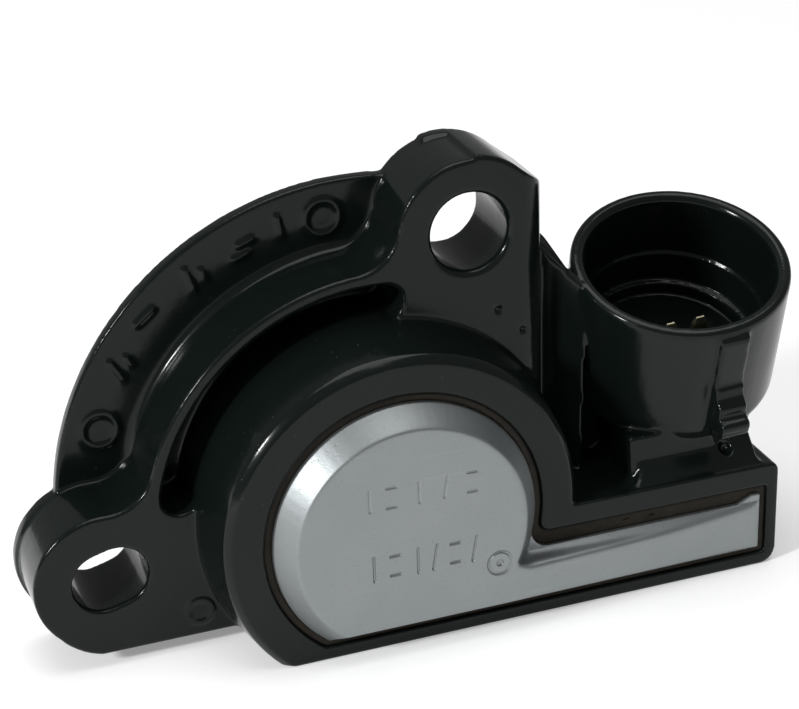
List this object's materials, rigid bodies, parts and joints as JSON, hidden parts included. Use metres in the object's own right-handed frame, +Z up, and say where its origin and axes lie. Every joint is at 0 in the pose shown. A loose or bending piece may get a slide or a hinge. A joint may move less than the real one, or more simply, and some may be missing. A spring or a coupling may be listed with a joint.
{
  "type": "throttle position sensor",
  "caption": "Rotary throttle position sensor: black moulded body with half-round flange, ears, drum under a formed metal cover, and round upright connector.",
  "frame": {"origin": "where the rotor axis meets the mounting face", "axes": "Z up along the connector side with the body standing on its flat bottom edge, +Y out of the mounting face, the metal cover faces -Y, +X towards the connector"},
  "size_m": [0.0769, 0.0246, 0.045],
  "materials": {
    "housing": "black glass-filled nylon, softly glossy as moulded",
    "cover": "matt formed aluminium sheet",
    "sealant": "dark brown sealing bead",
    "card": "brown laminate with printed tracks",
    "rotor": "natural low-friction plastic",
    "contact": "plated contact metal",
    "spring": "drawn spring wire",
    "seal": "black rubber"
  },
  "bodies": {
    "body": {"housing": "housing", "cover_plate": "cover", "cover_seal": "sealant", "resistor_card": "card", "terminal_a": "contact", "terminal_b": "contact", "terminal_c": "contact", "shaft_seal": "seal"},
    "rotor": {"rotor": "rotor", "wiper": "contact", "return_spring": "spring"}
  },
  "joints": [
    {"name": "rotor_turn", "type": "hinge", "parent": "body", "child": "rotor", "pos_m": [0, 0, 0], "axis": [0, -1, 0], "range_deg": [0, 90], "stiffness_Nm_per_rad": 0.01, "springref_deg": -34.38, "deforming": ["return_spring"]}
  ]
}
